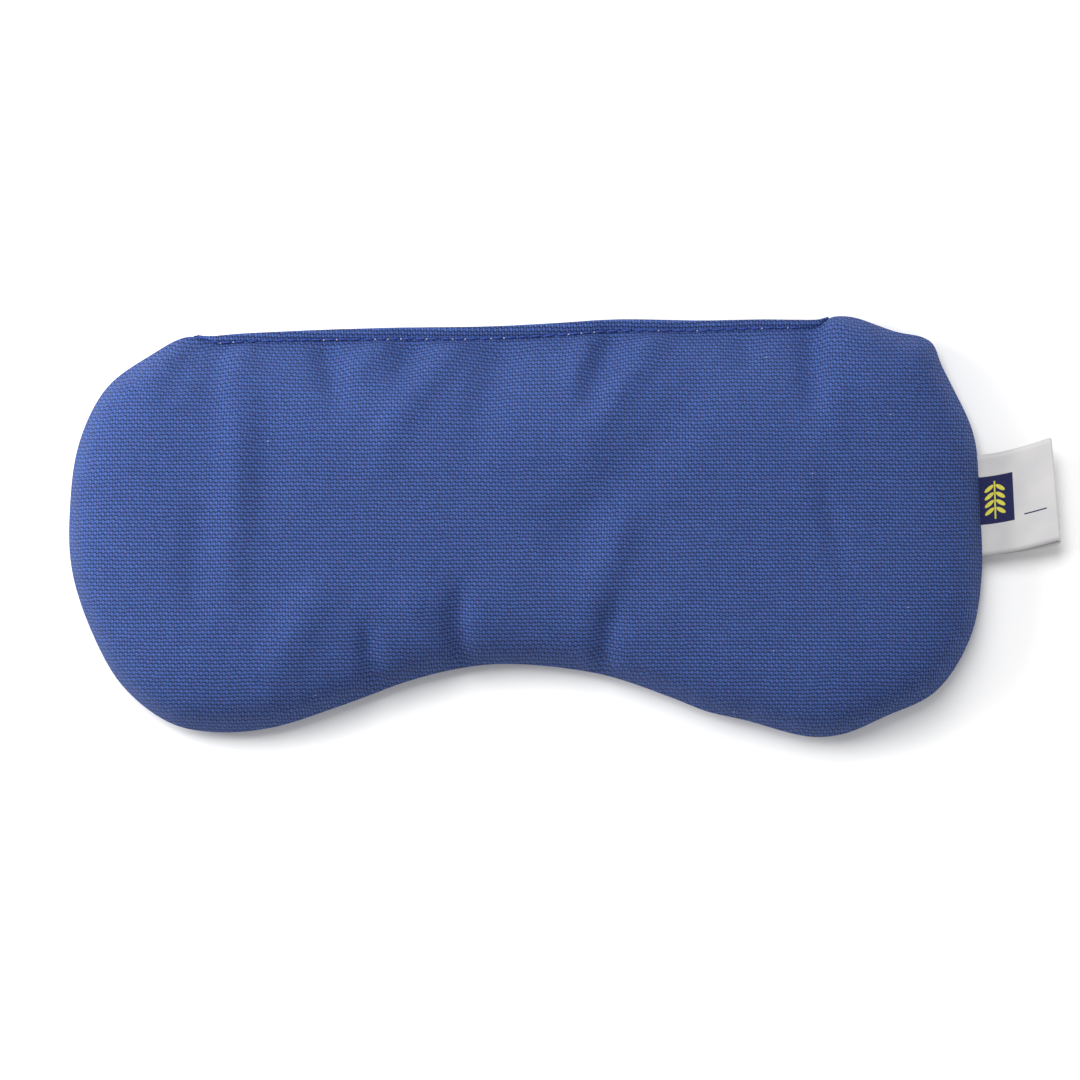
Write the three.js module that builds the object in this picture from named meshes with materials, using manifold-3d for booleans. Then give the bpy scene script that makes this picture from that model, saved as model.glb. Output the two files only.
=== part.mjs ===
// Eye pillow: a mask-shaped bag of blue canvas, closed along its straight edge by a topstitched
// seam, with a folded ribbon label in its side seam. A plain cotton inner bag holds the seed filling.
// Millimetres, +Z up. X runs across both lobes and the straight edge faces +Y. The origin is the
// centre of the flat underside that the pillow lies on.
import * as THREE from "three";
import { mergeVertices } from "three/addons/utils/BufferGeometryUtils.js";
import Module from "manifold-3d";

// Driving dimensions of the pillow as filled and lying flat.
const TIP_X = 120; // half of the length over both lobes
const TIP_Y = -4; // where each end reaches furthest out
const STRAIGHT_Y = 53; // the straight long edge
const STRAIGHT_HALF = 88; // half of its straight run
const LOBE_X = 80; // the lowest point of each lobe
const LOBE_Y = -55;
const NOTCH_Y = -36; // top of the hollow for the nose
const CROWN_Z = 25; // thickness of the filled pillow
const SEAM_Z = 9; // height of the side seam above the surface

const CLOTH = 0.7; // canvas
const LINING = 0.4; // inner bag's cotton
const THREAD_R = 0.2; // sewing thread
const SEAM_GAP = 0.4; // between the two panels where they meet
const AIR = 0.3; // between nested layers
const FLANGE = 3.5; // flat strip outside the closing stitch line
const FLANGE_HALF = 84; // half of its length
const FLANGE_RAMP = 6; // over which it runs out into the side seam
const CLOSING_STITCH_OUT = 1; // from the foot of the flange out to its stitch line

const LABEL_Y = 5; // middle of the label along the right-hand side
const LABEL_WIDTH = 28;
const LABEL_OUT = 20; // from the seam to the fold
const RIBBON = 0.25; // thickness of the label's ribbon
const FOLD_R = 0.9; // radius of the ribbon's middle at the fold
const LABEL_START = 1.2; // clearance at the seam that lets the label swing
const LABEL_LIFT = THREE.MathUtils.degToRad(8); // the label stands up a little
const SEWN_DEPTH = 2.6; // how far the label's ends reach in past the seam
const POCKET_AIR = 0.3; // room for those ends between the panels

// The domed layers are superellipses over the outline, scaled towards a line along the pillow.
const OUTLINE_POINTS = 72;
const SPINE_SHARE = 0.55; // the spine's length as a share of the pillow's
const SPINE_Y = 4;
const DOME_FLANK = 3.2; // higher is a flatter middle with a steeper side
const DOME_CROWN = 2.2;
const FLAT_SHARE = 0.84; // the part of the underside that lies flat
const CAP_SHARE = 0.15; // the innermost ring, closed by a flat cap
const DOME_STEPS = 7;
const DISH_STEPS = 4;
const CAP_ANGLE = Math.asin(CAP_SHARE ** (DOME_FLANK / 2));
const ALLOWANCE_ANGLE = THREE.MathUtils.degToRad(62); // where the turned-in seam allowance ends
const ALLOWANCE_STEPS = 2;

const SHOULDER_Z = SEAM_Z + SEAM_GAP / 2 + 2 * CLOTH; // top of the two folded layers at the seam
const HEEL_Z = SEAM_Z - SEAM_GAP / 2 - 2 * CLOTH;
const EDGE_ROUNDING = 0.4;

const wasm = await Module();
wasm.setup();

// ---- The outline, counter-clockwise, and the closing flange along its straight edge ----

// The right half, from the end of the straight run round the lobe to the middle of the hollow: a
// point, then two handles and the next point for each Bezier curve.
const HALF_OUTLINE = [
  [STRAIGHT_HALF, STRAIGHT_Y],
  [106, STRAIGHT_Y],
  [TIP_X, 30],
  [TIP_X, TIP_Y],
  [TIP_X, -32],
  [104, LOBE_Y],
  [LOBE_X, LOBE_Y],
  [50, LOBE_Y],
  [32, NOTCH_Y],
  [0, NOTCH_Y],
];

// From the right-hand end of the straight run, along it and round both lobes back to its start.
function outlinePath() {
  const leftHalf = HALF_OUTLINE.map(([x, y]) => [-x, y]);
  const points = [...leftHalf, ...HALF_OUTLINE.toReversed().slice(1)];
  const path = new THREE.Path();
  path.moveTo(...HALF_OUTLINE[0]);
  path.lineTo(...points[0]);
  for (let k = 1; k < points.length; k += 3) {
    path.bezierCurveTo(...points[k], ...points[k + 1], ...points[k + 2]);
  }
  return path;
}

function outwardNormals(points) {
  return points.map((point, i) => {
    const before = points[(i + points.length - 1) % points.length];
    const after = points[(i + 1) % points.length];
    const along = after.clone().sub(before).normalize();
    return new THREE.Vector2(along.y, -along.x);
  });
}

// 1 along the closing seam, 0 where the side seam runs, with a short ramp between.
function flangeShare(point) {
  if (point.y < STRAIGHT_Y / 2) return 0;
  return THREE.MathUtils.smoothstep(FLANGE_HALF + FLANGE_RAMP / 2 - Math.abs(point.x), 0, FLANGE_RAMP);
}

const edge = outlinePath().getSpacedPoints(OUTLINE_POINTS).slice(0, OUTLINE_POINTS);
const edgeNormals = outwardNormals(edge);
const body = edge.map((point, i) =>
  point.clone().addScaledVector(edgeNormals[i], -FLANGE * flangeShare(point)),
);
const bodyNormals = outwardNormals(body);

// ---- Rings and the solids lofted from them ----

// The body's outline drawn in by inset, scaled to share about the spine, at height z.
function ring(inset, share, z) {
  return body.map((point, i) => {
    const x = point.x - inset * bodyNormals[i].x;
    const y = point.y - inset * bodyNormals[i].y;
    const alongShare = SPINE_SHARE + (1 - SPINE_SHARE) * share;
    return new THREE.Vector3(x * alongShare, SPINE_Y + (y - SPINE_Y) * share, z);
  });
}

function edgeRing(z) {
  return edge.map((point) => new THREE.Vector3(point.x, point.y, z));
}

// Rings from the edge to the crown, or back with the angles given the other way round.
function domeRings(inset, baseZ, crownZ, fromAngle, toAngle, steps) {
  return Array.from({ length: steps + 1 }, (_, k) => {
    const angle = THREE.MathUtils.lerp(fromAngle, toAngle, k / steps);
    const share = Math.sin(angle) ** (2 / DOME_FLANK);
    const height = Math.max(Math.cos(angle), 0) ** (2 / DOME_CROWN);
    return ring(inset, share, baseZ + (crownZ - baseZ) * height);
  });
}

// Rings of the underside: a flat floor at floorZ whose rim turns up to rimZ.
function dishRings(inset, floorZ, rimZ) {
  const rings = [ring(inset, CAP_SHARE, floorZ)];
  for (let k = 0; k <= DISH_STEPS; k++) {
    const angle = ((k / DISH_STEPS) * Math.PI) / 2;
    const share = FLAT_SHARE + (1 - FLAT_SHARE) * Math.sin(angle);
    rings.push(ring(inset, share, floorZ + (rimZ - floorZ) * (1 - Math.cos(angle))));
  }
  return rings;
}

function capTriangles(points, facesUp) {
  const flat = points.map((p) => new THREE.Vector2(p.x, p.y));
  return THREE.ShapeUtils.triangulateShape(flat, []).map(([a, b, c]) => {
    const turn = flat[b].clone().sub(flat[a]).cross(flat[c].clone().sub(flat[a]));
    return turn > 0 === facesUp ? [a, b, c] : [a, c, b];
  });
}

// A closed solid through the rings in order. The first ring's cap faces up and the last one's down.
function loft(rings) {
  const count = rings[0].length;
  const positions = rings.flat().flatMap((p) => [p.x, p.y, p.z]);
  const index = capTriangles(rings[0], true).flat();
  for (let k = 0; k + 1 < rings.length; k++) {
    for (let i = 0; i < count; i++) {
      const next = (i + 1) % count;
      const a = k * count;
      const b = a + count;
      index.push(a + i, b + i, b + next, a + i, b + next, a + next);
    }
  }
  const last = (rings.length - 1) * count;
  index.push(...capTriangles(rings.at(-1), false).flat().map((i) => last + i));
  const geometry = new THREE.BufferGeometry();
  geometry.setAttribute("position", new THREE.Float32BufferAttribute(positions, 3));
  geometry.setIndex(index);
  geometry.computeVertexNormals();
  return geometry;
}

// ---- Booleans ----

function solidOf(geometry) {
  const bare = geometry.clone();
  bare.deleteAttribute("normal");
  bare.deleteAttribute("uv");
  const merged = mergeVertices(bare, 1e-4);
  return new wasm.Manifold(
    new wasm.Mesh({
      numProp: 3,
      vertProperties: merged.attributes.position.array,
      triVerts: new Uint32Array(merged.index.array),
    }),
  );
}

function cut(geometry, tool) {
  const mesh = solidOf(geometry).subtract(solidOf(tool)).getMesh();
  const result = new THREE.BufferGeometry();
  result.setAttribute("position", new THREE.Float32BufferAttribute(mesh.vertProperties, 3));
  result.setIndex(new THREE.BufferAttribute(mesh.triVerts, 1));
  result.computeVertexNormals();
  return result;
}

// ---- Materials ----

const fabric = (color, roughness = 0.9) =>
  new THREE.MeshStandardMaterial({ color, roughness, metalness: 0, side: THREE.DoubleSide });
const CANVAS = fabric(0x41599a);
const LINING_COTTON = fabric(0xd9d0bd);
const BLUE_THREAD = fabric(0x243a86, 0.7);
const PALE_THREAD = fabric(0xcfcabd, 0.7);
const LABEL_SATIN = fabric(0xe6e3e2, 0.45);
const SEEDS = fabric(0x6b4526, 0.6);

const pillow = new THREE.Group();

function add(name, geometry, material, parent = pillow) {
  const mesh = new THREE.Mesh(geometry, material);
  mesh.name = name;
  parent.add(mesh);
  return mesh;
}

// ---- Outer cover ----

// Outer face, down over the folded edge, in under the flange, then the inner face, which is two
// layers thick as far as the turned-in allowance reaches.
function coverTop() {
  const doubled = 2 * CLOTH;
  const rightAngle = Math.PI / 2;
  return loft([
    ...domeRings(0, SHOULDER_Z, CROWN_Z, CAP_ANGLE, rightAngle, DOME_STEPS),
    edgeRing(SHOULDER_Z - EDGE_ROUNDING),
    edgeRing(SEAM_Z + SEAM_GAP / 2),
    ring(doubled, 1, SEAM_Z + SEAM_GAP / 2),
    ...domeRings(doubled, SHOULDER_Z, CROWN_Z - doubled, rightAngle, ALLOWANCE_ANGLE, ALLOWANCE_STEPS),
    ...domeRings(CLOTH, SHOULDER_Z, CROWN_Z - CLOTH, ALLOWANCE_ANGLE, CAP_ANGLE, DOME_STEPS),
  ]);
}

function coverBottom() {
  const doubled = 2 * CLOTH;
  return loft([
    ...dishRings(doubled, CLOTH, HEEL_Z),
    ring(doubled, 1, SEAM_Z - SEAM_GAP / 2),
    edgeRing(SEAM_Z - SEAM_GAP / 2),
    edgeRing(HEEL_Z + EDGE_ROUNDING),
    ...dishRings(0, 0, HEEL_Z).reverse(),
  ]);
}

// ---- Inner bag and its filling, each a layer inside the one before ----

const BAG_INSET = 3.2;
const BAG_TOP_Z = CROWN_Z - CLOTH - AIR;
const BAG_FLOOR_Z = CLOTH + AIR;
const BAG_RIM = 1.2; // height of the bag's doubled rim above and below its seam
const FILL_INSET = BAG_INSET + 2 * LINING + 2 * THREAD_R + 4 * AIR;

function bagTop() {
  const rim = SEAM_Z + SEAM_GAP / 2;
  const inside = BAG_INSET + 2 * LINING;
  const inwards = [Math.PI / 2, CAP_ANGLE, DOME_STEPS];
  return loft([
    ...domeRings(BAG_INSET, rim + BAG_RIM, BAG_TOP_Z, CAP_ANGLE, Math.PI / 2, DOME_STEPS),
    ring(BAG_INSET, 1, rim),
    ring(inside, 1, rim),
    ...domeRings(inside, rim + BAG_RIM, BAG_TOP_Z - LINING, ...inwards),
  ]);
}

function bagBottom() {
  const rim = SEAM_Z - SEAM_GAP / 2;
  const inside = BAG_INSET + 2 * LINING;
  return loft([
    ...dishRings(inside, BAG_FLOOR_Z + LINING, rim - BAG_RIM),
    ring(inside, 1, rim),
    ring(BAG_INSET, 1, rim),
    ...dishRings(BAG_INSET, BAG_FLOOR_Z, rim - BAG_RIM).reverse(),
  ]);
}

function filling() {
  const top = BAG_TOP_Z - LINING - AIR;
  const floor = BAG_FLOOR_Z + LINING + AIR;
  return loft([
    ...domeRings(FILL_INSET, SEAM_Z + BAG_RIM, top, CAP_ANGLE, Math.PI / 2, DOME_STEPS),
    ...dishRings(FILL_INSET, floor, SEAM_Z - BAG_RIM).reverse(),
  ]);
}

// ---- Threads ----

const THREAD_SIDES = 5;

function threadAlong(points) {
  const section = new THREE.Shape();
  for (let k = 0; k < THREAD_SIDES; k++) {
    const angle = (2 * Math.PI * k) / THREAD_SIDES;
    const x = THREAD_R * Math.cos(angle);
    const y = THREAD_R * Math.sin(angle);
    if (k === 0) section.moveTo(x, y);
    else section.lineTo(x, y);
  }
  section.closePath();
  const extrudePath = new THREE.CatmullRomCurve3(points, false, "centripetal");
  const steps = points.length - 1;
  return new THREE.ExtrudeGeometry(section, { steps, extrudePath, bevelEnabled: false });
}

// Round the sides and the lobes, from one end of the straight run to the other.
function sideSeamThread(z) {
  const inset = 2 * CLOTH + AIR + 2 * THREAD_R;
  return threadAlong(ring(inset, 1, z).filter((_, i) => edge[i].y < STRAIGHT_Y - 1));
}

function closingThread(z) {
  const reach = FLANGE_HALF - FLANGE_RAMP;
  const y = STRAIGHT_Y - FLANGE + CLOSING_STITCH_OUT;
  return threadAlong([-reach, 0, reach].map((x) => new THREE.Vector3(x, y, z)));
}

function bagThread(z) {
  const inset = BAG_INSET + 2 * LINING + THREAD_R + AIR;
  const line = ring(inset, 1, z);
  return threadAlong(line.slice(1)); // starts and ends at one corner, where the bag was closed
}

// ---- Label: a ribbon folded in half, its ends sewn into the right-hand side seam ----

// Its origin is on the seam, X points straight out of it and Y runs along it.
function labelFrame() {
  const rightSide = edge.filter((p) => p.x > LOBE_X);
  const offset = (p) => Math.abs(p.y - LABEL_Y);
  const root = rightSide.reduce((best, p) => (offset(p) < offset(best) ? p : best));
  const out = edgeNormals[edge.indexOf(root)];
  const group = new THREE.Group();
  group.position.set(root.x, root.y, SEAM_Z);
  group.rotation.z = Math.atan2(out.y, out.x);
  return group;
}

// The outside of the folded ribbon less its inside, drawn in X and Z and extruded along Y.
function labelLoop() {
  const foldX = LABEL_OUT - FOLD_R - RIBBON / 2;
  const quarter = Math.PI / 2;
  const loop = new THREE.Shape();
  loop.moveTo(LABEL_START, -RIBBON);
  loop.absarc(foldX, 0, FOLD_R + RIBBON / 2, -quarter, quarter, false);
  loop.lineTo(LABEL_START, RIBBON);
  loop.lineTo(LABEL_START, RIBBON / 8);
  loop.absarc(foldX, 0, FOLD_R - RIBBON / 2, quarter, -quarter, true);
  loop.lineTo(LABEL_START, -RIBBON / 8);
  loop.closePath();
  const geometry = new THREE.ExtrudeGeometry(loop, {
    depth: LABEL_WIDTH,
    bevelEnabled: false,
    curveSegments: 8,
  });
  geometry.translate(0, 0, -LABEL_WIDTH / 2);
  geometry.rotateX(Math.PI / 2);
  geometry.rotateY(-LABEL_LIFT);
  return geometry;
}

function sewnEnds() {
  const box = new THREE.BoxGeometry(SEWN_DEPTH - AIR, LABEL_WIDTH, 2 * RIBBON);
  return box.translate(-(SEWN_DEPTH + AIR) / 2, 0, 0);
}

function labelPocket(frame) {
  const width = LABEL_WIDTH + 2 * POCKET_AIR;
  const box = new THREE.BoxGeometry(2 * SEWN_DEPTH, width, 2 * (RIBBON + POCKET_AIR));
  frame.updateMatrixWorld(true);
  return box.applyMatrix4(frame.matrixWorld);
}

// ---- Assembly ----

const label = labelFrame();
const pocket = labelPocket(label);

add("cover_top_panel", cut(coverTop(), pocket), CANVAS);
add("cover_bottom_panel", cut(coverBottom(), pocket), CANVAS);
add("side_seam_needle_thread", sideSeamThread(SEAM_Z + 4 * THREAD_R), BLUE_THREAD);
add("side_seam_bobbin_thread", sideSeamThread(SEAM_Z - 4 * THREAD_R), PALE_THREAD);
add("closing_seam_needle_thread", closingThread(SHOULDER_Z + AIR + THREAD_R), BLUE_THREAD);
add("closing_seam_bobbin_thread", closingThread(HEEL_Z - AIR - THREAD_R), PALE_THREAD);

add("inner_bag_top_panel", bagTop(), LINING_COTTON);
add("inner_bag_bottom_panel", bagBottom(), LINING_COTTON);
add("inner_bag_needle_thread", bagThread(SEAM_Z + 2 * THREAD_R), PALE_THREAD);
add("inner_bag_bobbin_thread", bagThread(SEAM_Z - 2 * THREAD_R), PALE_THREAD);
add("seed_filling", filling(), SEEDS);

pillow.add(label);
add("label_loop", labelLoop(), LABEL_SATIN, label);
add("label_sewn_ends", sewnEnds(), LABEL_SATIN, label);

export default pillow;
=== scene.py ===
"""Looks of the eye pillow: a cloth-simulated canvas cover, its stitches and its folded ribbon label."""

import math

import bmesh
import bpy
import numpy as np
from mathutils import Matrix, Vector
from mathutils.geometry import delaunay_2d_cdt


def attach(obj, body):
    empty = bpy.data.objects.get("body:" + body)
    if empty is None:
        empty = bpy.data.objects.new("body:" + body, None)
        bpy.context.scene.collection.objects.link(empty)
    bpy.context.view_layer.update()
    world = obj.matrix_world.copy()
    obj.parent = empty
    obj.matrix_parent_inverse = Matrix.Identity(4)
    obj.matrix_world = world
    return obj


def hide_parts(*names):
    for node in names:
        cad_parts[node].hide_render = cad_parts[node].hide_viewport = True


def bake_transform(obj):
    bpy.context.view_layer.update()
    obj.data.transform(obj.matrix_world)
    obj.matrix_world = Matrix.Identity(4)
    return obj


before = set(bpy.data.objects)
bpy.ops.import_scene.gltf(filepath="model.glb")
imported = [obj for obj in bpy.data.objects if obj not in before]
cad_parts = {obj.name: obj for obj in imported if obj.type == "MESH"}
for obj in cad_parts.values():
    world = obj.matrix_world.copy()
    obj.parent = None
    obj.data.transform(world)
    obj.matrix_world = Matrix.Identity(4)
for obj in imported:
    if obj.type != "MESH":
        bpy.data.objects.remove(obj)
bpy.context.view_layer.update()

MM = 0.001

# ---------------------------------------------------------------- sizes, in millimetres

# The outline of the filled pillow as it lies, counter-clockwise in the order it is sewn: round the
# left lobe from the end of the straight edge, past the nose hollow and up the right-hand side.
OUTLINE = [
    (-90, 49.9), (-98.8, 45), (-110.3, 36.4), (-117.6, 22), (-120.2, 4), (-119.6, -12),
    (-113.8, -29.5), (-106, -42.7), (-93.3, -52.3), (-80, -54.5), (-66, -53), (-50, -47.8),
    (-30, -40.5), (-12, -36.7), (3, -36.6), (20, -39), (38, -45), (48, -49), (58, -51.3),
    (75, -55.7), (84, -55), (94.8, -50.5), (108.4, -43.7), (117.6, -29), (120.5, -12), (120, 6),
    (118.4, 24), (112.4, 37.5), (109.6, 43.2), (108, 48), (104.8, 49.9), (98.7, 50.9),
    (92.5, 53.1), (87, 55.1), (82, 55.4), (77, 54.5), (62, 54.7), (48, 54.7), (25, 55.1),
    (9, 54.3), (-8, 53.5), (-35, 53), (-62, 51.9), (-74, 51.2), (-83, 50.4),
]
CLOTH_EDGE = 2.4  # edge length of the simulated cloth
FLANGE_FROM, FLANGE_TO = -84.5, 78.5  # the stretch closed by topstitching
FLANGE_WIDTH, FLANGE_END_WIDTH = 3.5, 2.2
FLANGE_RAMP_IN, FLANGE_RAMP_OUT = 6, 3
FLANGE_TILT = math.radians(14)
FLANGE_TUCK = (81, 52)  # where the cloth bulges over the flange's end
TUCK_SPREAD, TUCK_SHIFT = 3.2, (-0.9, 1.5)
STITCH = 3.4

SEAM_Z = 8.5
TOP_RISE, BOTTOM_RISE = 15.8, 7.6
SHOULDER = 24  # how far in from the seam the start shape reaches its full height
FLANGE_SHOULDER = 42  # the same beside the flange, where the cloth rises more gently
VOLUME = 420  # cubic centimetres that the filling pushes for
LEVELLING = 0.35  # how far the settled seed flattens the crown, with steeper sides round it
YARN_U, YARN_V = 0.73, 0.964  # spacing of the canvas's yarns
GAP_WAVE, GAP_SKEW, GAP_FALL = 0.16, 0.35, 0.1  # the groove between two rows, with shade painted in it, in yarn spacings

# Folds pulled into the top by the seams: (points, width, height), valleys with a negative height.
FOLDS = [
    ([(-84, 8), (-86, -8), (-86, -28)], 4.2, -1.1),
    ([(-73, 47), (-75, 20), (-76, 0), (-78, -24)], 4.4, 1.7),
    ([(-71, 58), (-76, 42), (-78, 30)], 3.4, 1.3),
    ([(-66, 34), (-67, 14), (-68, -4)], 4.8, -0.5),
    ([(-84, 55), (-90, 42), (-95, 32)], 3.2, -1.6),
    ([(-55, 58), (-51, 42), (-48, 28)], 3.6, -1.5),
    ([(-33, 58), (-42, 43), (-49, 35)], 2.8, 1.4),
    ([(-27, 58), (-31, 43), (-34, 34)], 2.8, -1.3),
    ([(-12, 58), (-24, 41), (-33, 28), (-39, 14)], 3.6, 1.6),
    ([(0, 60), (-8, 40), (-16, 12)], 5.0, -1.3),
    ([(20, 60), (14, 42), (11, 32)], 3.0, 1.5),
    ([(26, 60), (20, 42), (15, 26)], 2.8, -1.3),
    ([(40, 60), (29, 41), (20, 29), (14, 18)], 3.0, 1.7),
    ([(52, 47), (39, 28), (24, 10), (14, 0), (7, -18)], 6.4, -1.2),
    ([(28, 9), (22, -9), (15, -26)], 3.8, 1.6),
    ([(25, -18), (22, -27), (20, -40)], 2.2, -2.4),
    ([(35, -18), (38, -30)], 4.5, 0.6),
    ([(-50, -12), (-59, -26), (-67, -42)], 4.6, 1.5),
    ([(-40, -24), (-41, -32), (-39, -43)], 1.9, -2.2),
    ([(-15, -14), (-18, -25), (-16, -39)], 2.2, -2.7),
    ([(-28, -16), (-30, -26)], 4.5, 1.0),
    ([(60, 60), (58, 44), (57, 36)], 4.0, -0.9),
    ([(76, 58), (76, 42), (75, 28)], 2.6, -1.2),
    ([(83, 56), (81, 38), (80, 20)], 3.6, 1.5),
    ([(78, 15), (80, 2), (84, -12)], 2.4, -1.2),
]
# Shares of the folds' height pressed in again once the cloth has settled.
FOLD_SHARE_AFTER, FOLD_SHARE_AT_SEAM = 0.75, 0.3


# ---------------------------------------------------------------- plane geometry

def smoothstep(low, high, x):
    t = np.clip((x - low) / (high - low), 0, 1)
    return t * t * (3 - 2 * t)


def resample(points, spacing, closed):
    """Points at an even spacing along a centripetal Catmull-Rom curve."""
    p = np.array(points, float)
    if not closed:
        p = np.vstack([2 * p[0] - p[1], p, 2 * p[-1] - p[-2]])
    count = len(p) if closed else len(p) - 3
    curve = []
    for i in range(count):
        a, b, c, d = (p[(i + k) % len(p)] for k in ((-1, 0, 1, 2) if closed else (0, 1, 2, 3)))
        t0 = 0
        t1 = t0 + math.sqrt(np.linalg.norm(b - a))
        t2 = t1 + math.sqrt(np.linalg.norm(c - b))
        t3 = t2 + math.sqrt(np.linalg.norm(d - c))
        for t in np.linspace(t1, t2, 12, endpoint=False):
            ab = ((t1 - t) * a + (t - t0) * b) / (t1 - t0)
            bc = ((t2 - t) * b + (t - t1) * c) / (t2 - t1)
            cd = ((t3 - t) * c + (t - t2) * d) / (t3 - t2)
            abc = ((t2 - t) * ab + (t - t0) * bc) / (t2 - t0)
            bcd = ((t3 - t) * bc + (t - t1) * cd) / (t3 - t1)
            curve.append(((t2 - t) * abc + (t - t1) * bcd) / (t2 - t1))
    curve.append(curve[0] if closed else p[-2])
    curve = np.array(curve)
    along = np.concatenate([[0], np.cumsum(np.linalg.norm(np.diff(curve, axis=0), axis=1))])
    steps = max(1, round(along[-1] / spacing))
    at = np.linspace(0, along[-1], steps + 1)[: steps if closed else None]
    return np.stack([np.interp(at, along, curve[:, k]) for k in range(curve.shape[1])], axis=1)


def outward(loop):
    along = np.roll(loop, -1, axis=0) - np.roll(loop, 1, axis=0)
    along /= np.linalg.norm(along, axis=1)[:, None]
    return np.stack([along[:, 1], -along[:, 0]], axis=1)


def inside(points, loop):
    x, y = points[:, 0, None], points[:, 1, None]
    x0, y0 = loop[:, 0], loop[:, 1]
    x1, y1 = np.roll(x0, -1), np.roll(y0, -1)
    with np.errstate(divide="ignore", invalid="ignore"):
        crosses = ((y0 > y) != (y1 > y)) & (x < (x1 - x0) * (y - y0) / (y1 - y0) + x0)
    return crosses.sum(axis=1) % 2 == 1


def distance(points, line):
    return np.min(np.linalg.norm(points[:, None] - line[None], axis=2), axis=1)


# ---------------------------------------------------------------- the cover's cloth

edge = resample(OUTLINE, CLOTH_EDGE, closed=True)
edge_out = outward(edge)
ramp_in = smoothstep(FLANGE_FROM - FLANGE_RAMP_IN / 2, FLANGE_FROM + FLANGE_RAMP_IN / 2, edge[:, 0])
ramp_out = smoothstep(FLANGE_TO - FLANGE_RAMP_OUT / 2, FLANGE_TO + FLANGE_RAMP_OUT / 2, edge[:, 0])
flange_share = np.where(edge[:, 1] > 40, ramp_in * (1 - ramp_out), 0)
along_flange = np.clip((edge[:, 0] - FLANGE_FROM) / (FLANGE_TO - FLANGE_FROM), 0, 1)
bulge = FLANGE_END_WIDTH + (FLANGE_WIDTH - FLANGE_END_WIDTH) * np.sin(math.pi * along_flange)
flange_width = bulge * flange_share
seam = edge - edge_out * flange_width[:, None]


def panel(loop, spacing):
    """Points and faces of a flat panel: squares in line with the yarns, triangles along its edge."""
    low, high = loop.min(axis=0), loop.max(axis=0)
    xs = np.arange(low[0], high[0], spacing)
    ys = np.arange(low[1], high[1], spacing)
    lattice = np.stack(np.meshgrid(xs, ys), axis=-1).reshape(-1, 2)
    lattice = lattice[inside(lattice, loop) & (distance(lattice, loop) > 0.62 * spacing)]
    points = [Vector(p) for p in np.vstack([loop, lattice])]
    flat, _, faces, *_ = delaunay_2d_cdt(points, [], [list(range(len(loop)))], 1, 1e-6)
    bm = bmesh.new()
    for p in flat:
        bm.verts.new((p.x, p.y, 0))
    bm.verts.ensure_lookup_table()
    for f in faces:
        bm.faces.new([bm.verts[i] for i in f])
    bmesh.ops.join_triangles(
        bm, faces=bm.faces, angle_face_threshold=0.05, angle_shape_threshold=0.05
    )
    faces = []
    for f in bm.faces:
        f.normal_update()
        corners = [v.index for v in f.verts]
        faces.append(corners if f.normal.z > 0 else corners[::-1])
    bm.free()
    return np.array([(p.x, p.y) for p in flat]), faces


def fold_height(points):
    """Height that the folds add at each point of the top."""
    total = np.zeros(len(points))
    for line, width, height in FOLDS:
        curve = resample(line, 1.0, closed=False)
        gap = np.linalg.norm(points[:, None] - curve[None], axis=2)
        nearest = gap.argmin(axis=1)
        t = nearest / (len(curve) - 1)
        taper = smoothstep(-0.1, 0.35, t) * smoothstep(1.1, 0.65, t)
        total += height * taper * np.exp(-((gap.min(axis=1) / width) ** 2))
    return total


def simulate(start, faces, frames=30):
    """The cloth pushed out by its filling, under its own weight on the floor, ten times life size."""
    scale = 10 * MM
    mesh = bpy.data.meshes.new("cloth")
    mesh.from_pydata((start * scale).tolist(), [], faces)
    cloth = bpy.data.objects.new("cloth", mesh)
    bpy.context.scene.collection.objects.link(cloth)
    bpy.ops.mesh.primitive_plane_add(size=8)
    floor = bpy.context.object
    floor.modifiers.new("collision", "COLLISION")
    floor.collision.thickness_outer = 0.004
    floor.collision.cloth_friction = 30

    modifier = cloth.modifiers.new("cloth", "CLOTH")
    modifier.point_cache.frame_end = frames
    settings = modifier.settings
    settings.quality = 8
    settings.mass = 0.02
    settings.tension_stiffness = 60
    settings.compression_stiffness = 30
    settings.shear_stiffness = 12
    settings.bending_stiffness = 0.8
    settings.tension_damping = 8
    settings.compression_damping = 8
    settings.shear_damping = 8
    settings.bending_damping = 1
    settings.air_damping = 4
    settings.use_pressure = True
    settings.uniform_pressure_force = 0
    settings.use_pressure_volume = True
    settings.target_volume = VOLUME * 1000 * scale**3
    settings.pressure_factor = 8
    settings.fluid_density = 0.15
    modifier.collision_settings.distance_min = 0.004
    modifier.collision_settings.use_self_collision = False

    scene = bpy.context.scene
    for number in range(1, frames + 1):
        scene.frame_set(number)
    settled = cloth.evaluated_get(bpy.context.evaluated_depsgraph_get())
    points = np.empty(len(start) * 3)
    settled.data.vertices.foreach_get("co", points)
    scene.frame_set(1)
    for thing in (cloth, floor):
        bpy.data.objects.remove(thing)
    return points.reshape(-1, 3) / scale


def relax(points, faces, fixed, rounds, share=0.5):
    """Draws each point towards the mean of its neighbours."""
    pairs = {tuple(sorted((f[k - 1], f[k]))) for f in faces for k in range(len(f))}
    pairs = np.array(sorted(pairs))
    points = points.copy()
    for _ in range(rounds):
        total = np.zeros_like(points)
        count = np.zeros(len(points))
        for a, b in (pairs.T, pairs.T[::-1]):
            np.add.at(total, a, points[b])
            np.add.at(count, a, 1)
        moved = points + share * (total / count[:, None] - points)
        moved[:fixed] = points[:fixed]
        points = moved
    return points


def normals(points, faces):
    mesh = bpy.data.meshes.new("normals")
    mesh.from_pydata(points.tolist(), [], faces)
    directions = np.empty(len(points) * 3)
    mesh.vertex_normals.foreach_get("vector", directions)
    bpy.data.meshes.remove(mesh)
    return directions.reshape(-1, 3)


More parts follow.
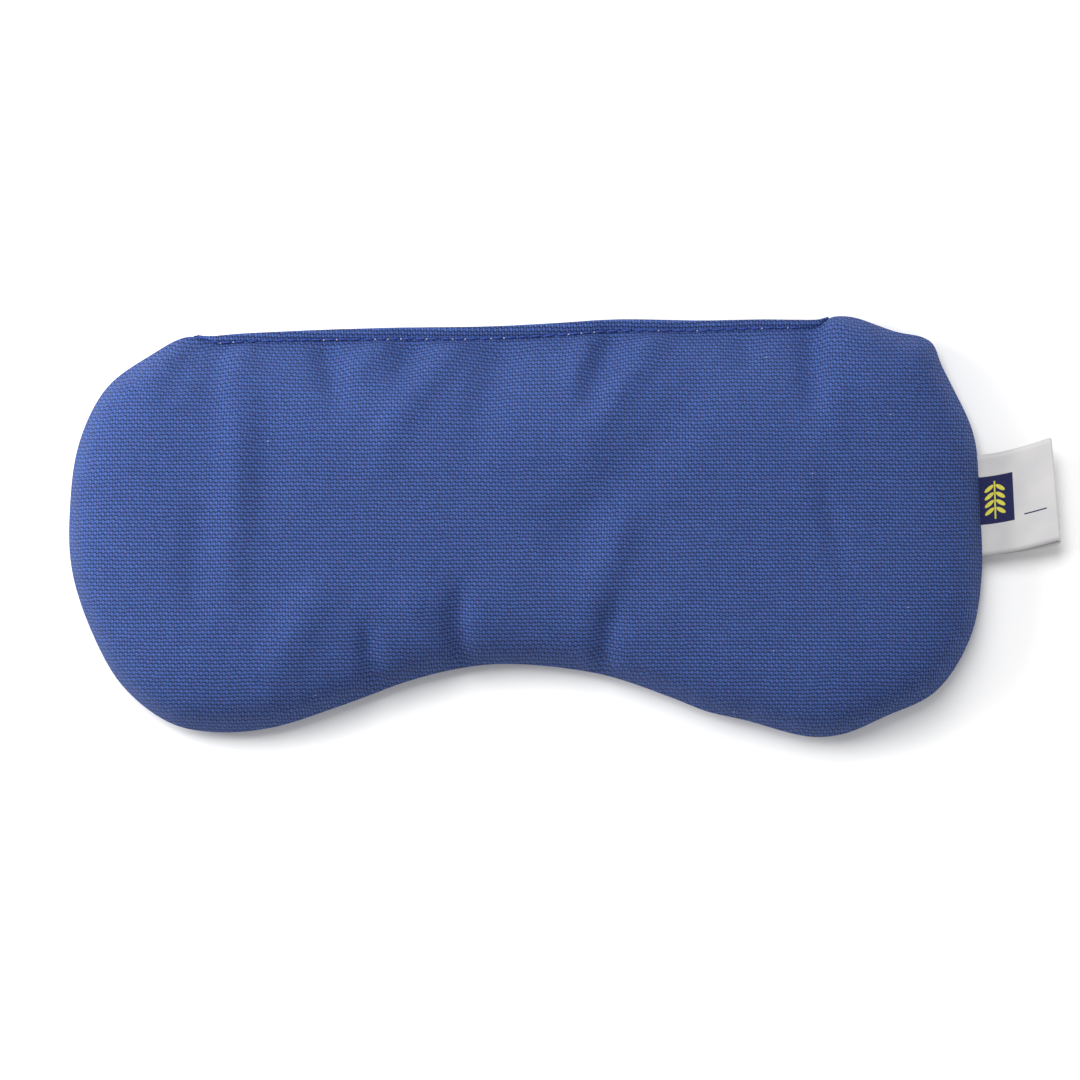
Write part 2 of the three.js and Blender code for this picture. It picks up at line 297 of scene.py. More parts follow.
flat, top_faces = panel(seam, CLOTH_EDGE)
seam_count = len(seam)
inner_count = len(flat) - seam_count
under = {i: i + inner_count if i >= seam_count else i for i in range(len(flat))}
bottom_faces = [[under[i] for i in reversed(f)] for f in top_faces]
all_faces = top_faces + bottom_faces
pattern = np.vstack([flat, flat[seam_count:]])
is_top = np.zeros(len(pattern), bool)
is_top[seam_count : len(flat)] = True
is_bottom = np.zeros(len(pattern), bool)
is_bottom[len(flat) :] = True

gap = distance(pattern, seam)
gap[:seam_count] = 0
beside_flange = smoothstep(5, 35, pattern[:, 1])
beside_flange *= smoothstep(-98, -78, pattern[:, 0]) * smoothstep(92, 76, pattern[:, 0])
rounded = np.sqrt(1 - (1 - np.clip(gap / SHOULDER, 0, 1)) ** 2)
gentle = np.sin(math.pi / 2 * np.clip(gap / FLANGE_SHOULDER, 0, 1))
rise = rounded + beside_flange * (gentle - rounded)
start = np.column_stack([pattern, np.full(len(pattern), SEAM_Z)])
start[is_top, 2] += TOP_RISE * rise[is_top] + fold_height(pattern[is_top])
start[is_bottom, 2] -= BOTTOM_RISE * rise[is_bottom]

settled = simulate(start, all_faces)
settled = relax(settled, all_faces, seam_count, 2)
seam_z = settled[:seam_count, 2].mean()
height = settled[is_top, 2] - seam_z
settled[is_top, 2] = seam_z + height * (1 + LEVELLING * (1 - height / np.percentile(height, 98)))
press = FOLD_SHARE_AFTER * fold_height(pattern)
press[is_bottom] = 0
press[:seam_count] = 0
settled += press[:, None] * normals(settled, all_faces)
settled[:seam_count, 2] += FOLD_SHARE_AT_SEAM * fold_height(seam)
overhang = np.exp(-((distance(pattern, np.array([FLANGE_TUCK])) / TUCK_SPREAD) ** 2)) * is_top
settled[:, :2] += overhang[:, None] * np.array(TUCK_SHIFT)
lowest = np.percentile(settled[:, 2], 1)
settled[:, 2] = np.maximum(settled[:, 2] - lowest, 0)  # flat where it touches the floor


# ---------------------------------------------------------------- meshes

def new_object(name, points, faces, uv=None):
    """A mesh from points in millimetres; uv gives each point's place in the flat cloth."""
    mesh = bpy.data.meshes.new(name)
    mesh.from_pydata((np.asarray(points) * MM).tolist(), [], [list(f) for f in faces])
    if uv is not None:
        layer = mesh.uv_layers.new(name="cloth")
        index = np.empty(len(mesh.loops), int)
        mesh.loops.foreach_get("vertex_index", index)
        layer.data.foreach_set("uv", np.asarray(uv, float)[index].ravel())
    mesh.shade_smooth()
    obj = bpy.data.objects.new(name, mesh)
    bpy.context.scene.collection.objects.link(obj)
    return obj


def merged(parts):
    """Several (points, faces, uv) put together as one."""
    points, faces, uvs = [], [], []
    for p, f, uv in parts:
        first = sum(len(q) for q in points)
        points.append(np.asarray(p, float))
        uvs.append(np.asarray(uv, float))
        faces += [[i + first for i in face] for face in f]
    return np.vstack(points), faces, np.vstack(uvs)


def kept(points, faces, uv):
    """The same, without the points that no face uses."""
    used = sorted({i for f in faces for i in f})
    place = {old: new for new, old in enumerate(used)}
    return np.asarray(points)[used], [[place[i] for i in f] for f in faces], np.asarray(uv)[used]


def swept(path, section, frames):
    """A closed tube: section's (across, up) points carried along path, with a cap at each end."""
    rings, uvs = [], []
    for point, (across, up) in zip(path, frames):
        rings.append([point + a * across + b * up for a, b in section])
        uvs.append([(point[0], point[1] + a + b) for a, b in section])
    count = len(section)
    faces = []
    for i in range(len(path) - 1):
        for k in range(count):
            n = (k + 1) % count
            a, b = i * count, (i + 1) * count
            faces.append([a + k, a + n, b + n, b + k])
    last = (len(path) - 1) * count
    faces.append(list(range(count))[::-1])
    faces.append([last + k for k in range(count)])
    return np.array(rings).reshape(-1, 3), faces, np.array(uvs).reshape(-1, 2)


def round_section(radius, sides=8):
    turn = 2 * math.pi / sides
    return [(radius * math.cos(turn * k), radius * math.sin(turn * k)) for k in range(sides)]


def framed(path):
    """For each point of a path, the two directions square to it, the second as near up as can be."""
    along = np.gradient(path, axis=0)
    along /= np.linalg.norm(along, axis=1)[:, None]
    across = np.cross(along, (0, 0, 1))
    across /= np.linalg.norm(across, axis=1)[:, None]
    return list(zip(across, np.cross(across, along)))


# ---------------------------------------------------------------- the closing flange and its stitches

X_AXIS = np.array([1.0, 0.0, 0.0])
FIRST_STITCH = 10  # as a point of the stitch line, which has four to a stitch
STITCH_OUT, HOLE_OUT = 0.55, 0.45  # from the foot of the flange
STITCH_START, STITCH_LENGTH = 0.1, 0.8  # of the spacing between two needle holes
STITCH_LIFT, STITCH_BOW = 0.45, 0.5
NEEDLE_THREAD_R, BOBBIN_THREAD_R, LOOP_R = 0.24, 0.24, 0.15
# A loop of thread through a needle hole: how far along the seam, and how far out from it on the
# thread's own side, each point is.
HOLE_LOOP = [(-0.14, 0.2), (-0.12, -0.6), (0.0, -0.86), (0.12, -0.6), (0.14, 0.2)]

near_flange = flange_share + np.roll(flange_share, 1) + np.roll(flange_share, -1)
closing = [i for i in range(seam_count) if near_flange[i] > 0.02]
closing.sort(key=lambda i: -edge[i, 0])
stitch_line = resample(settled[closing], STITCH / 4, closed=False)
line_x = seam[closing][:, 0]


def along_line(values, x):
    order = np.argsort(line_x)
    return np.interp(x, line_x[order], np.asarray(values)[closing][order])


line_share = along_line(flange_share, stitch_line[:, 0])
line_width = along_line(flange_width, stitch_line[:, 0])
line_place = along_line(seam[:, 1], stitch_line[:, 0])
line_out = np.column_stack([
    along_line(edge_out[:, 0], stitch_line[:, 0]),
    along_line(edge_out[:, 1], stitch_line[:, 0]),
    np.zeros(len(stitch_line)),
])
tilt_across = line_out * math.cos(FLANGE_TILT) + np.array([0, 0, math.sin(FLANGE_TILT)])
tilt_up = -line_out * math.sin(FLANGE_TILT) + np.array([0, 0, math.cos(FLANGE_TILT)])

# Half of the flange: one panel's edge turned in on itself, pinched by the stitches near its foot.
FOLDED_LAYER = [
    (-1.2, 0.05), (-1.2, 0.3), (-0.5, 0.42), (0.0, 0.5), (0.5, 0.62), (1.1, 0.85), (2.0, 0.95),
    (2.9, 0.9), (3.45, 0.7), (3.75, 0.38), (3.6, 0.1), (2.6, 0.03), (1.0, 0.03),
]


def flange_layer(side):
    points, faces, uvs = [], [], []
    reach_full = 3.75 * math.cos(FLANGE_TILT)
    section = FOLDED_LAYER if side < 0 else FOLDED_LAYER[::-1]
    for i, point in enumerate(stitch_line):
        pinch = 0.5 + 0.5 * math.cos(2 * math.pi * i / 4)
        for a, b in section:
            reach = a if a < 0 else a * max(line_width[i], 0.1) / reach_full
            near = math.exp(-(((a - 0.3) / 0.7) ** 2))
            full = math.sqrt(max(line_share[i], 0.08))
            height = side * b * full * (1 - 0.35 * pinch * near)
            points.append(point + reach * tilt_across[i] + height * tilt_up[i])
            uvs.append((point[0], line_place[i] + reach))
    count = len(section)
    for i in range(len(stitch_line) - 1):
        for k in range(count):
            n = (k + 1) % count
            faces.append([i * count + k, i * count + n, (i + 1) * count + n, (i + 1) * count + k])
    last = (len(stitch_line) - 1) * count
    faces.append(list(range(count))[::-1])
    faces.append([last + k for k in range(count)])
    return np.array(points), faces, np.array(uvs)


def stitches(side, radius, peeping=()):
    """One short arched run of thread for each stitch of the closing seam.

    At the needle holes whose numbers are in peeping, the thread comes through to the other side.
    """
    parts = []
    for number, i in enumerate(range(FIRST_STITCH, len(stitch_line) - 4, 4)):
        if number in peeping:
            hole = stitch_line[i] + HOLE_OUT * tilt_across[i]
            loop = [hole + side * z * tilt_up[i] + x * X_AXIS for x, z in HOLE_LOOP]
            loop = resample(loop, 0.1, closed=False)
            parts.append(swept(loop, round_section(LOOP_R, 6), framed(loop)))
        base = stitch_line[i]
        run = stitch_line[i + 4] - base
        path = []
        for t in np.linspace(STITCH_START, STITCH_START + STITCH_LENGTH, 9):
            bow = math.sin(math.pi * (t - STITCH_START) / STITCH_LENGTH)
            lift = side * (STITCH_LIFT + STITCH_BOW * (bow - 0.25))
            path.append(base + t * run + STITCH_OUT * tilt_across[i] + lift * tilt_up[i])
        path = np.array(path)
        parts.append(swept(path, round_section(radius), framed(path)))
    return merged(parts)


# ---------------------------------------------------------------- materials

def node_material(name):
    material = bpy.data.materials.new(name)
    material.use_nodes = True
    nodes = material.node_tree.nodes
    return material, nodes, material.node_tree.links, nodes["Principled BSDF"]


class Maths:
    """Short names for the nodes that a pattern is built from. Arguments are sockets or numbers."""

    def __init__(self, material):
        self.nodes = material.node_tree.nodes
        self.links = material.node_tree.links

    def put(self, socket, value):
        if isinstance(value, (int, float, tuple)):
            socket.default_value = value
        else:
            self.links.new(value, socket)

    def op(self, operation, a, b=0.0, c=0.0):
        node = self.nodes.new("ShaderNodeMath")
        node.operation = operation
        for socket, value in zip(node.inputs, (a, b, c)):
            self.put(socket, value)
        return node.outputs[0]

    def add(self, a, b):
        return self.op("ADD", a, b)

    def mul(self, a, b):
        return self.op("MULTIPLY", a, b)

    def ramp(self, value, low, high, out_low=0.0, out_high=1.0):
        node = self.nodes.new("ShaderNodeMapRange")
        node.interpolation_type = "SMOOTHSTEP"
        values = (value, low, high, out_low, out_high)
        for socket, v in zip(node.inputs, values):
            self.put(socket, v)
        return node.outputs[0]

    def mix(self, factor, a, b, blend="MIX"):
        node = self.nodes.new("ShaderNodeMix")
        node.data_type = "RGBA"
        node.blend_type = blend
        self.put(node.inputs[0], factor)
        self.put(node.inputs[6], a)
        self.put(node.inputs[7], b)
        return node.outputs[2]

    def noise(self, vector, scale, detail=2.0):
        node = self.nodes.new("ShaderNodeTexNoise")
        self.put(node.inputs["Vector"], vector)
        node.inputs["Scale"].default_value = scale
        node.inputs["Detail"].default_value = detail
        return node.outputs["Fac"]

    def white(self, vector):
        node = self.nodes.new("ShaderNodeTexWhiteNoise")
        node.noise_dimensions = "3D"
        self.put(node.inputs["Vector"], vector)
        return node.outputs["Value"]

    def vector(self, x, y, z=0.0):
        node = self.nodes.new("ShaderNodeCombineXYZ")
        for socket, value in zip(node.inputs, (x, y, z)):
            self.put(socket, value)
        return node.outputs[0]

    def cloth_place(self):
        """The two millimetre coordinates of the flat cloth."""
        uv = self.nodes.new("ShaderNodeUVMap")
        uv.uv_map = "cloth"
        split = self.nodes.new("ShaderNodeSeparateXYZ")
        self.links.new(uv.outputs[0], split.inputs[0])
        return split.outputs[0], split.outputs[1]

    def object_place(self, scale):
        node = self.nodes.new("ShaderNodeTexCoord")
        mapping = self.nodes.new("ShaderNodeMapping")
        mapping.inputs["Scale"].default_value = (scale,) * 3
        self.links.new(node.outputs["Object"], mapping.inputs["Vector"])
        return mapping.outputs[0]

    def bump(self, height, strength, depth_mm, bsdf):
        node = self.nodes.new("ShaderNodeBump")
        node.inputs["Strength"].default_value = strength
        node.inputs["Distance"].default_value = depth_mm * MM
        self.links.new(height, node.inputs["Height"])
        self.links.new(node.outputs["Normal"], bsdf.inputs["Normal"])


def plain_weave(m, u, v):
    """A plain weave of unit yarns at (u, v): its height, and how clear of painted shade each point is.

    A wavy groove runs between each two rows, over one warp float and under the next, and the shade
    painted along it is darkest where it drops. The lines of alternate rows are a yarn apart, as in
    brickwork. Shade is painted along the borders between the columns too.
    """
    column, row = m.op("FLOOR", u), m.op("FLOOR", v)
    half_turn_u = m.mul(m.op("SUBTRACT", u, 0.5), math.pi)
    half_turn_v = m.mul(m.op("SUBTRACT", v, 0.5), math.pi)
    warp_wave = m.op("COSINE", m.add(half_turn_v, m.mul(column, math.pi)))
    weft_wave = m.op("COSINE", m.add(half_turn_u, m.mul(row, math.pi)))
    across_warp = m.op("SINE", m.mul(m.op("FRACT", u), math.pi))
    across_weft = m.op("SINE", m.mul(m.op("FRACT", v), math.pi))
    warp = m.mul(m.op("POWER", across_warp, 0.6), m.add(0.5, m.mul(warp_wave, 0.5)))
    weft = m.mul(m.op("POWER", across_weft, 0.6), m.op("SUBTRACT", 0.5, m.mul(weft_wave, 0.5)))
    between = m.op("ROUND", v)
    brick = m.op("FRACT", m.mul(m.add(u, between), 0.5))
    fall = m.mul(m.op("SUBTRACT", brick, 0.5 + 0.5 * GAP_FALL), 2 * math.pi)
    skewed = m.add(fall, m.mul(m.op("SINE", fall), GAP_SKEW))
    line = m.add(m.op("SUBTRACT", v, between), m.mul(m.op("SINE", skewed), GAP_WAVE))
    line = m.ramp(m.op("ABSOLUTE", line), 0.33, 0.06)
    steep = m.ramp(m.op("ABSOLUTE", fall), 0.6 * math.pi, 0.1 * math.pi, 0.6, 1.0)
    gap = m.mul(line, steep)
    # Painted shade along the column borders: it darkens the colour only, not the height.
    beside = m.op("ABSOLUTE", m.op("SINE", m.mul(m.op("SUBTRACT", u, 0.15), math.pi)))
    clear = m.mul(m.op("SUBTRACT", 1.0, gap), m.ramp(beside, 0.0, 0.55, 0.14, 1.0))
    height = m.op("SUBTRACT", m.op("MAXIMUM", warp, m.mul(weft, 0.85)), m.mul(gap, 0.6))
    return height, clear, warp, weft, column, row


def woven(name, yarn_u, yarn_v, sheen_tint, gap_shade, tints, depth, sheen, speck=None):
    """A plain-woven cloth with uneven yarns, painted shade in the gaps between them and a few pale
    specks.
    """
    material, _, links, bsdf = node_material(name)
    m = Maths(material)
    u, v = m.cloth_place()
    drift = m.noise(m.vector(u, v), 0.06, 1.0)
    u = m.add(m.mul(u, 1 / yarn_u), m.mul(drift, 1.2))
    v = m.add(m.mul(v, 1 / yarn_v), m.mul(drift, -0.8))
    wobble = m.noise(m.vector(m.mul(u, 0.31), m.mul(v, 0.31), 2.0), 1.0, 1.0)
    u = m.add(u, m.mul(m.op("SUBTRACT", wobble, 0.5), 0.7))
    v = m.add(v, m.mul(m.op("SUBTRACT", wobble, 0.5), -0.5))
    height, clear, warp, weft, column, row = plain_weave(m, u, v)
    warp_slub = m.noise(m.vector(m.mul(column, 7.3), m.mul(v, 0.11)), 1.0, 2.0)
    weft_slub = m.noise(m.vector(m.mul(u, 0.11), m.mul(row, 5.9), 3.0), 1.0, 2.0)
    on_weft = m.op("GREATER_THAN", weft, warp)
    slub = m.add(m.mul(on_weft, weft_slub), m.mul(m.op("SUBTRACT", 1.0, on_weft), warp_slub))
    crossing = m.white(m.vector(column, row, 1.0))
    shade = m.add(m.ramp(slub, 0.25, 0.75, 0.93, 1.07), m.mul(m.op("SUBTRACT", crossing, 0.5), 0.12))
    cloud = m.noise(m.vector(m.mul(u, yarn_u), m.mul(v, yarn_v)), 0.035, 3.0)
    yarn = m.mix(m.ramp(cloud, 0.3, 0.7), (*tints[0], 1), (*tints[1], 1))
    blotch = m.noise(m.vector(m.mul(u, 0.45), m.mul(v, 0.45), 7.0), 1.0, 2.0)
    yarn = m.mix(m.ramp(blotch, 0.45, 0.7, 0.0, 0.8), yarn, (*tints[2], 1))
    tone = m.mix(1.0, yarn, m.vector(shade, shade, shade), "MULTIPLY")
    ragged = m.ramp(m.white(m.vector(row, column, 5.0)), 0.0, 1.0, 0.88, 1.08)
    clear = m.op("MINIMUM", m.mul(clear, m.mul(ragged, 1.15)), 1.0)
    # Painted shade: where clear is low the colour turns to the dark gap colour, the shade between the
    # yarns.
    base = m.mix(clear, (*gap_shade, 1), tone)
    if speck is not None:
        rare = m.op("GREATER_THAN", m.white(m.vector(column, row, 11.0)), 0.99975)
        base = m.mix(m.mul(rare, m.ramp(height, 0.5, 0.9)), base, (*speck, 1))
    links.new(base, bsdf.inputs["Base Color"])
    fuzz = m.noise(m.vector(m.mul(u, 3.1), m.mul(v, 3.1)), 1.0, 2.0)
    relief = m.add(m.add(height, m.mul(slub, 0.35)), m.mul(fuzz, 0.18))
    m.bump(relief, 0.9, depth, bsdf)
    bsdf.inputs["Roughness"].default_value = 0.88
    bsdf.inputs["Specular IOR Level"].default_value = 0.22
    bsdf.inputs["Sheen Weight"].default_value = sheen
    bsdf.inputs["Sheen Roughness"].default_value = 0.45
    bsdf.inputs["Sheen Tint"].default_value = (*sheen_tint, 1)
    return material


def spun_thread(name, colour, roughness):
    material, _, links, bsdf = node_material(name)
    m = Maths(material)
    place = m.object_place(1000)
    twist = m.noise(place, 2.2, 2.0)
    # Painted shade: the colour is darker where the twist noise, and so the bump, is low, in the
    # thread's grooves.
    groove_shade = tuple(0.7 * c for c in colour)
    base = m.mix(m.ramp(twist, 0.3, 0.7), (*groove_shade, 1), (*colour, 1))
    links.new(base, bsdf.inputs["Base Color"])
    m.bump(twist, 0.6, 0.12, bsdf)
    bsdf.inputs["Roughness"].default_value = roughness
    bsdf.inputs["Sheen Weight"].default_value = 0.08
    return material


def satin(name):
    """Pale ribbon with a plain sprig printed on a dark block, and a thin rule beside it."""
    material, _, links, bsdf = node_material(name)
    m = Maths(material)
    u, v = m.cloth_place()

    def block(centre_u, centre_v, half_u, half_v):
        out_u = m.op("SUBTRACT", m.op("ABSOLUTE", m.add(u, -centre_u)), half_u)
        out_v = m.op("SUBTRACT", m.op("ABSOLUTE", m.add(v, -centre_v)), half_v)
        return m.ramp(m.op("MAXIMUM", out_u, out_v), 0.08, -0.08)

    def leaves(centre_u, centre_v, pitch, lean):
        side = m.op("SUBTRACT", m.op("ABSOLUTE", m.add(u, -centre_u)), 1.5)
        place = m.mul(m.add(m.op("FRACT", m.mul(m.add(v, -centre_v), 1 / pitch)), -0.5), pitch)
        c, s = math.cos(lean), math.sin(lean)
        long_way = m.add(m.mul(side, c), m.mul(place, s))
        short_way = m.add(m.mul(side, -s), m.mul(place, c))
        long_way = m.op("POWER", m.mul(long_way, 1 / 1.5), 2)
        short_way = m.op("POWER", m.mul(short_way, 1 / 0.55), 2)
        return m.ramp(m.add(long_way, short_way), 1.1, 0.8)

    shade = m.noise(m.vector(u, v), 0.12, 1.0)
    ribbon = m.mix(m.ramp(shade, 0.3, 0.7), (0.53, 0.52, 0.53, 1), (0.58, 0.57, 0.565, 1))
    fade = m.ramp(m.noise(m.vector(u, v), 1.6, 2.0), 0.4, 0.8)
    navy = m.mix(fade, (0.004, 0.006, 0.06, 1), (0.010, 0.014, 0.085, 1))
    gold = m.mix(fade, (0.68, 0.62, 0.06, 1), (0.55, 0.52, 0.12, 1))
    patch = block(4.0, 12.8, 5.6, 6.6)
    printed = m.mix(m.op("MAXIMUM", patch, block(15.2, 18.4, 3.0, 0.18)), ribbon, navy)
    sprig = m.mul(leaves(4.6, 12.8, 2.1, 0.65), block(4.6, 12.8, 3.4, 4.2))
    sprig = m.op("MAXIMUM", sprig, block(4.6, 12.9, 0.2, 5.2))
    links.new(m.mix(m.mul(sprig, patch), printed, gold), bsdf.inputs["Base Color"])
    m.bump(m.op("SINE", m.mul(v, 2 * math.pi / 0.22)), 0.2, 0.02, bsdf)
    bsdf.inputs["Specular IOR Level"].default_value = 0.2
    bsdf.inputs["Roughness"].default_value = 0.45
    bsdf.inputs["Sheen Weight"].default_value = 0.15
    return material


def seed_material(name):
    material, nodes, links, bsdf = node_material(name)
    m = Maths(material)
    cells = nodes.new("ShaderNodeTexVoronoi")
    cells.inputs["Scale"].default_value = 1.0
    stretch = nodes.new("ShaderNodeMapping")
    stretch.inputs["Scale"].default_value = (0.22, 0.42, 0.42)
    links.new(m.object_place(1000), stretch.inputs["Vector"])
    links.new(stretch.outputs[0], cells.inputs["Vector"])
    hue = m.ramp(m.white(cells.outputs["Color"]), 0.0, 1.0)
    links.new(m.mix(hue, (0.10, 0.035, 0.012, 1), (0.26, 0.12, 0.045, 1)), bsdf.inputs["Base Color"])
    m.bump(m.op("SUBTRACT", 1.0, cells.outputs["Distance"]), 0.9, 0.8, bsdf)
    bsdf.inputs["Roughness"].default_value = 0.35
    return material


# The fifth argument, a near-black blue, is the painted shade in the gaps between the yarns.
canvas = woven(
    "cover_canvas", YARN_U, YARN_V, (0.25, 0.35, 0.75), (0.004, 0.006, 0.022),
    ((0.045, 0.094, 0.302), (0.049, 0.099, 0.310), (0.060, 0.089, 0.297)),
    0.2, 0.12, speck=(0.24, 0.27, 0.42),
)
# Here the fifth argument, a dark brown, is the painted shade in the gaps between the yarns.
lining = woven(
    "bag_cotton", 0.5, 0.5, (0.9, 0.86, 0.78), (0.30, 0.26, 0.19),
    ((0.62, 0.56, 0.45), (0.68, 0.62, 0.50), (0.66, 0.60, 0.50)), 0.12, 0.1,
)
blue_thread = spun_thread("blue_thread", (0.010, 0.045, 0.30), 0.6)
pale_thread = spun_thread("pale_thread", (0.52, 0.52, 0.55), 0.55)
ribbon_satin = satin("label_satin")
seeds = seed_material("flax_seed")

# ---------------------------------------------------------------- pieces

def finish_piece(obj, material, body="pillow", nodes=(), subdivide=0):
    obj.data.materials.append(material)
    if subdivide:
        modifier = obj.modifiers.new("subdivision", "SUBSURF")
        modifier.levels = modifier.render_levels = subdivide
    if body:
        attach(obj, body)
    if nodes:
        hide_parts(*nodes)
    return obj


def cover_panel(name, faces, side, node):
    body = kept(settled, faces, pattern)
    obj = new_object(name, *merged([body, flange_layer(side)]))
    finish_piece(obj, canvas, nodes=[node], subdivide=1)


def nested(depth):
    """The cover's shape drawn in by a depth, for what lies inside it."""
    return settled - depth * normals(settled, all_faces)


cover_panel("cover_top", top_faces, 1, "cover_top_panel")
cover_panel("cover_bottom", bottom_faces, -1, "cover_bottom_panel")

needle = new_object("closing_stitches", *stitches(1, NEEDLE_THREAD_R))
finish_piece(needle, blue_thread, nodes=["closing_seam_needle_thread"])
# The needle holes where the pale thread shows on top, counted from the right-hand end.
peeping = set(np.random.default_rng(4).choice(48, 17, replace=False).tolist())
peeping = peeping - {0} | {1, 3, 45}
bobbin = new_object("closing_stitches_under", *stitches(-1, BOBBIN_THREAD_R, peeping))
finish_piece(bobbin, pale_thread, nodes=["closing_seam_bobbin_thread"])

BAG_DEPTH, FILLING_DEPTH = 1.1, 2.0  # inside the cover's outer face
bag_points = nested(BAG_DEPTH)
for name, faces, node in (
    ("inner_bag_top", top_faces, "inner_bag_top_panel"),
    ("inner_bag_bottom", bottom_faces, "inner_bag_bottom_panel"),
):
    piece = new_object(name, *kept(bag_points, faces, pattern))
    finish_piece(piece, lining, nodes=[node])
piece = new_object("seed_filling_loose", nested(FILLING_DEPTH), all_faces, pattern)
finish_piece(piece, seeds, nodes=["seed_filling"])


MIDDLE_Y = 4


def hidden_thread(name, shrink, lift, nodes, material, past_flange=False):
    """A row of stitches along a seam inside the cover, drawn in towards the middle by shrink."""
    ring = settled[:seam_count].copy()
    ring[:, 0] *= shrink[0]
    ring[:, 1] = MIDDLE_Y + (ring[:, 1] - MIDDLE_Y) * shrink[1]
    ring[:, 2] += lift
    if not past_flange:
        first = max(closing) + 1
        ring = np.roll(ring, -first, axis=0)[: seam_count - len(closing)]
    path = ring[1:-1]
    obj = new_object(name, *swept(path, round_section(0.2, 6), framed(path)))
    return finish_piece(obj, material, nodes=nodes)


SIDE_SEAM, BAG_SEAM = (0.985, 0.97), (0.966, 0.933)
hidden_thread(
    "side_stitches", SIDE_SEAM, 0.35, ["side_seam_needle_thread"], blue_thread
)
hidden_thread(
    "side_stitches_under", SIDE_SEAM, -0.35, ["side_seam_bobbin_thread"], pale_thread
)
hidden_thread(
    "bag_stitches", BAG_SEAM, 0.3, ["inner_bag_needle_thread"], pale_thread, True
)
hidden_thread(
    "bag_stitches_under", BAG_SEAM, -0.3, ["inner_bag_bobbin_thread"], pale_thread,
    True,
)


# ---------------------------------------------------------------- label

# The ribbon's four corners as it lies: where it leaves the seam, and at its fold.
LABEL_ROOT = ((119.2, 18.6), (119.6, -8.1))
LABEL_FOLD = ((138.0, 23.1), (140.4, -4.0))
LABEL_WIDTH = 28
LABEL_INSIDE = 0.2  # the share of its length that is sewn into the seam
LABEL_RISE = 1.5  # from the seam to the fold
LABEL_STEPS_ACROSS = 20
LABEL_OUTS = np.linspace(-LABEL_INSIDE, 1, 26)
RIBBON = 0.22
label_side = settled[:seam_count][seam[:, 0] > 110]
root_z = float(np.interp(5, label_side[:, 1], label_side[:, 2]))


def on_label(out, across, layer):
    """A point of the ribbon: out from 0 at the seam to 1 at the fold, across from 0 to 1."""
    near = np.array(LABEL_ROOT[0]) * (1 - across) + np.array(LABEL_ROOT[1]) * across
    far = np.array(LABEL_FOLD[0]) * (1 - across) + np.array(LABEL_FOLD[1]) * across
    clear = max(out, 0)
    x = near[0] * (1 - out) + far[0] * out
    y = near[1] + (far[1] - near[1]) * clear**1.5
    parting = math.sin(0.62 * math.pi * clear**1.5)
    z = root_z + LABEL_RISE * clear**1.6 + layer * (0.16 + 0.3 * parting)
    if layer < 0:
        y -= 1.1 * clear * parting
    return np.array([x, y, z])


def label_rows():
    """The ribbon's rows of points, from one sewn end over the fold to the other."""
    across = np.linspace(0, 1, LABEL_STEPS_ACROSS + 1)
    upper = [np.array([on_label(o, a, 1) for a in across]) for o in LABEL_OUTS]
    lower = [np.array([on_label(o, a, -1) for a in across]) for o in LABEL_OUTS[::-1]]
    middle, half = (upper[-1] + lower[0]) / 2, (upper[-1] - lower[0]) / 2
    ahead = np.linalg.norm(half, axis=1)[:, None] * np.array([0.95, 0.1, 0.3])
    turns = np.linspace(math.pi / 2, -math.pi / 2, 9)[1:-1]
    fold = [middle + half * math.sin(t) + ahead * math.cos(t) for t in turns]
    return upper + fold + lower


def label_mesh():
    """The ribbon's points, faces, flat place, counted from the seam, and length."""
    rows = np.array(label_rows())
    steps = np.linalg.norm(np.diff(rows[:, LABEL_STEPS_ACROSS // 2], axis=0), axis=1)
    along = np.concatenate([[0], np.cumsum(steps)])
    at_seam = np.interp(0, LABEL_OUTS, along[: len(LABEL_OUTS)])
    across = np.linspace(0, LABEL_WIDTH, LABEL_STEPS_ACROSS + 1)
    uv = np.stack(np.meshgrid(along - at_seam, across, indexing="ij"), axis=-1).reshape(-1, 2)
    n = LABEL_STEPS_ACROSS + 1
    faces = [
        [r * n + t, (r + 1) * n + t, (r + 1) * n + t + 1, r * n + t + 1]
        for r in range(len(rows) - 1)
        for t in range(LABEL_STEPS_ACROSS)
    ]
    return rows.reshape(-1, 3), faces, uv, float(along[-1])


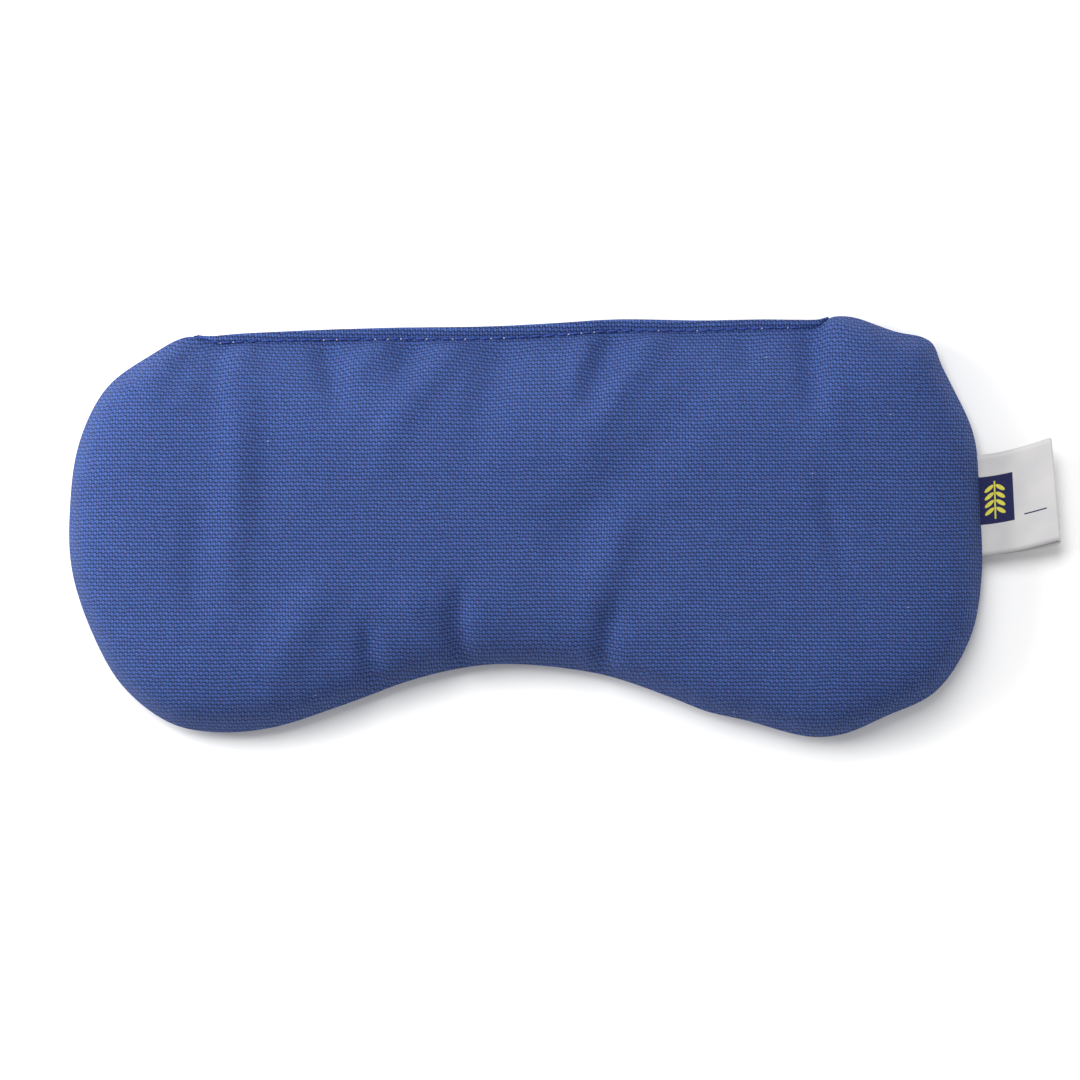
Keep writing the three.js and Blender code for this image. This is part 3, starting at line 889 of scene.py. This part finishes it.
points, faces, uv, ribbon_length = label_mesh()
label = new_object("label_ribbon", points, faces, uv)
ribbon_nodes = ["label_loop", "label_sewn_ends"]
finish_piece(label, ribbon_satin, body=None, nodes=ribbon_nodes)
thick = label.modifiers.new("thickness", "SOLIDIFY")
thick.thickness = RIBBON * MM
thick.offset = 0

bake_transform(label)


# ---------------------------------------------------------------- floor, light and camera

floor_mesh = bpy.data.meshes.new("floor")
floor_mesh.from_pydata([(-4, -4, 0), (4, -4, 0), (4, 4, 0), (-4, 4, 0)], [], [(0, 1, 2, 3)])
floor = bpy.data.objects.new("floor", floor_mesh)
bpy.context.scene.collection.objects.link(floor)
floor_material, _, _, floor_bsdf = node_material("pale_floor")
floor_bsdf.inputs["Base Color"].default_value = (0.97, 0.97, 0.97, 1)
floor_bsdf.inputs["Roughness"].default_value = 0.9
floor_bsdf.inputs["Specular IOR Level"].default_value = 0.1
floor_mesh.materials.append(floor_material)

world = bpy.data.worlds.new("studio")
world.use_nodes = True
world.node_tree.nodes["Background"].inputs[0].default_value = (1, 1, 1, 1)
world.node_tree.nodes["Background"].inputs[1].default_value = 0.47
bpy.context.scene.world = world


def area_light(name, place, size, watts):
    """A square light that faces the origin."""
    light = bpy.data.lights.new(name, "AREA")
    light.size = size
    light.energy = watts
    obj = bpy.data.objects.new(name, light)
    bpy.context.scene.collection.objects.link(obj)
    obj.location = place
    obj.rotation_euler = (-Vector(place)).to_track_quat("-Z", "Y").to_euler()


area_light("key", (-0.4, 1.1, 1.75), 1.2, 31.3)
area_light("left", (-0.42, 0.12, 0.3), 0.25, 2.1)
area_light("right", (0.9, 0.2, 0.25), 0.4, 0.9)

HALF_VIEW = 142.1  # millimetres from the middle of the view to its side, at the seam's height
CAMERA_Z = 1.3
camera_data = bpy.data.cameras.new("camera")
camera_data.sensor_width = 36
camera_data.lens = 36 * (CAMERA_Z - SEAM_Z * MM) / (2 * HALF_VIEW * MM)
camera_data.clip_end = 20
camera = bpy.data.objects.new("camera", camera_data)
bpy.context.scene.collection.objects.link(camera)
camera.location = (0.00395, -0.00382, CAMERA_Z)
bpy.context.scene.camera = camera
bpy.context.scene.view_settings.view_transform = "Standard"
